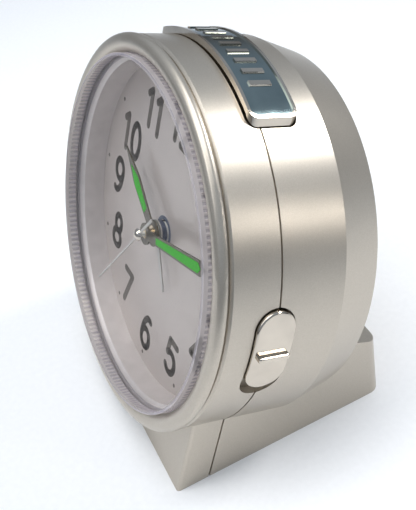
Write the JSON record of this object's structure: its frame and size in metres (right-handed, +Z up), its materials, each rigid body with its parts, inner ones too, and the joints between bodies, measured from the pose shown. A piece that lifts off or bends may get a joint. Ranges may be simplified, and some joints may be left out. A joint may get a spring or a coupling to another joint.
{
  "type": "alarm clock",
  "caption": "Round silver travel alarm clock leaning back on a moulded wedge foot, with a ribbed clear lens, luminous hands, a curved chrome snooze bar on top and a side alarm slider.",
  "frame": {"origin": "bottom centre of the bounding box, on the ground under the foot", "axes": "+Z up, -Y the way the face looks (and leans up), +X to the right of the face as seen from the front"},
  "size_m": [0.0924, 0.0682, 0.0902],
  "materials": {
    "case_silver": "satin silver paint",
    "lens_clear": "clear polished, ribbed rim",
    "dial_ring_grey": "satin",
    "dial_print": "pearl silver print",
    "hand_dark": "dark olive lacquer",
    "hand_silver": "pale silver",
    "lume_green": "luminous paint",
    "chrome_trim": "polished",
    "mirror_teal": "dark mirror",
    "pipe_brass": "turned, satin",
    "gear_plastic": "natural acetal",
    "movement_plastic": "moulded",
    "knob_plastic": "moulded",
    "magnet_dark": "ground",
    "core_steel": "plated",
    "screw_steel": "zinc plated",
    "coil_copper": "enamelled copper wire",
    "board_green": "solder mask",
    "crystal_can": "drawn can",
    "chip_black": "moulded",
    "lamp_clear": "clear",
    "sounder_black": "moulded",
    "cell_jacket": "plain printed jacket"
  },
  "bodies": {
    "case": {"front_case": "case_silver", "rear_case": "case_silver", "bezel_ring": "case_silver", "lens": "lens_clear", "dial_ring": "dial_ring_grey", "dial": "dial_print", "movement_cover": "movement_plastic", "movement_back": "movement_plastic", "movement_screws": "screw_steel", "stator": "core_steel", "coil_bobbin": "movement_plastic", "coil_winding": "coil_copper", "circuit_board": "board_green", "quartz_crystal": "crystal_can", "control_chip": "chip_black", "snooze_contact": "movement_plastic", "dial_lamp": "lamp_clear", "sounder": "sounder_black", "battery": "cell_jacket", "positive_contact": "core_steel", "negative_contact": "core_steel", "switch_guide": "case_silver", "slide_switch": "movement_plastic", "back_screws": "screw_steel", "base_screws": "screw_steel"},
    "second_arbor": {"second_wheel": "gear_plastic", "second_hand": "hand_silver", "hand_cap": "chrome_trim"},
    "step_arbor": {"step_wheel": "gear_plastic"},
    "rotor": {"rotor_magnet": "magnet_dark", "rotor_pinion": "gear_plastic"},
    "third_arbor": {"third_wheel": "gear_plastic"},
    "centre_wheel_disc": {"centre_wheel": "gear_plastic"},
    "minute_pipe": {"cannon_pinion": "pipe_brass", "minute_hand": "hand_dark", "minute_hand_lume": "lume_green"},
    "hour_pipe": {"hour_wheel": "pipe_brass", "hour_hand": "hand_dark", "hour_hand_lume": "lume_green"},
    "alarm_pipe": {"alarm_wheel": "gear_plastic", "alarm_hand": "hand_silver"},
    "time_setter": {"setting_shaft": "gear_plastic", "time_set_knob": "knob_plastic"},
    "alarm_setter": {"alarm_shaft": "gear_plastic", "alarm_set_knob": "knob_plastic"},
    "snooze_button": {"snooze_bar": "chrome_trim", "snooze_insert": "mirror_teal", "snooze_marks": "chrome_trim"},
    "alarm_slider": {"switch_cap": "chrome_trim"},
    "battery_cover": {"battery_door": "case_silver"}
  },
  "joints": [
    {"name": "second_hand_turn", "type": "hinge", "parent": "case", "child": "second_arbor", "pos_m": [-0.00097, -0.00492, 0.0435], "axis": [0, 0.9272, -0.3746], "continuous": true},
    {"name": "step_wheel_turn", "type": "hinge", "parent": "case", "child": "step_arbor", "pos_m": [0.00983, -0.00492, 0.0435], "axis": [0, 0.9272, -0.3746], "continuous": true},
    {"name": "rotor_turn", "type": "hinge", "parent": "case", "child": "rotor", "pos_m": [0.01767, -0.00492, 0.0435], "axis": [0, 0.9272, -0.3746], "continuous": true},
    {"name": "third_wheel_turn", "type": "hinge", "parent": "case", "child": "third_arbor", "pos_m": [-0.01178, -0.00492, 0.0435], "axis": [0, 0.9272, -0.3746], "continuous": true},
    {"name": "centre_wheel_turn", "type": "hinge", "parent": "case", "child": "centre_wheel_disc", "pos_m": [-0.00097, -0.00492, 0.0435], "axis": [0, 0.9272, -0.3746], "continuous": true},
    {"name": "time_knob_turn", "type": "hinge", "parent": "case", "child": "time_setter", "pos_m": [-0.00997, -0.00042, 0.05463], "axis": [0, 0.9272, -0.3746], "continuous": true},
    {"name": "minute_hand_turn", "type": "hinge", "parent": "case", "child": "minute_pipe", "pos_m": [-0.00097, -0.00492, 0.0435], "axis": [0, 0.9272, -0.3746], "continuous": true},
    {"name": "hour_hand_turn", "type": "hinge", "parent": "case", "child": "hour_pipe", "pos_m": [-0.00097, -0.00492, 0.0435], "axis": [0, 0.9272, -0.3746], "continuous": true},
    {"name": "alarm_knob_turn", "type": "hinge", "parent": "case", "child": "alarm_setter", "pos_m": [0.01002, -0.00042, 0.05463], "axis": [0, 0.9272, -0.3746], "continuous": true},
    {"name": "alarm_hand_turn", "type": "hinge", "parent": "case", "child": "alarm_pipe", "pos_m": [-0.00097, -0.00492, 0.0435], "axis": [0, 0.9272, -0.3746], "continuous": true},
    {"name": "snooze_press", "type": "slide", "parent": "case", "child": "snooze_button", "axis": [0, -0.3746, -0.9272], "range_m": [0, 0.0012], "stiffness_N_per_m": 500, "springref_m": -0.001},
    {"name": "alarm_switch_slide", "type": "hinge", "parent": "case", "child": "alarm_slider", "pos_m": [-0.00097, -0.00529, 0.04365], "axis": [0, 0.9272, -0.3746], "range_deg": [0, 2.8]},
    {"name": "battery_door_open", "type": "hinge", "parent": "case", "child": "battery_cover", "pos_m": [-0.00097, 0.01485, 0.02408], "axis": [-1, 0, 0], "range_deg": [0, 85]}
  ],
  "couplings": [
    {"joint": "step_wheel_turn", "follows": "second_hand_turn", "ratio": -5},
    {"joint": "rotor_turn", "follows": "second_hand_turn", "ratio": 30},
    {"joint": "third_wheel_turn", "follows": "second_hand_turn", "ratio": -0.13333},
    {"joint": "centre_wheel_turn", "follows": "second_hand_turn", "ratio": 0.016667},
    {"joint": "minute_hand_turn", "follows": "time_knob_turn", "ratio": -3},
    {"joint": "hour_hand_turn", "follows": "time_knob_turn", "ratio": -0.25},
    {"joint": "alarm_hand_turn", "follows": "alarm_knob_turn", "ratio": -0.5}
  ]
}
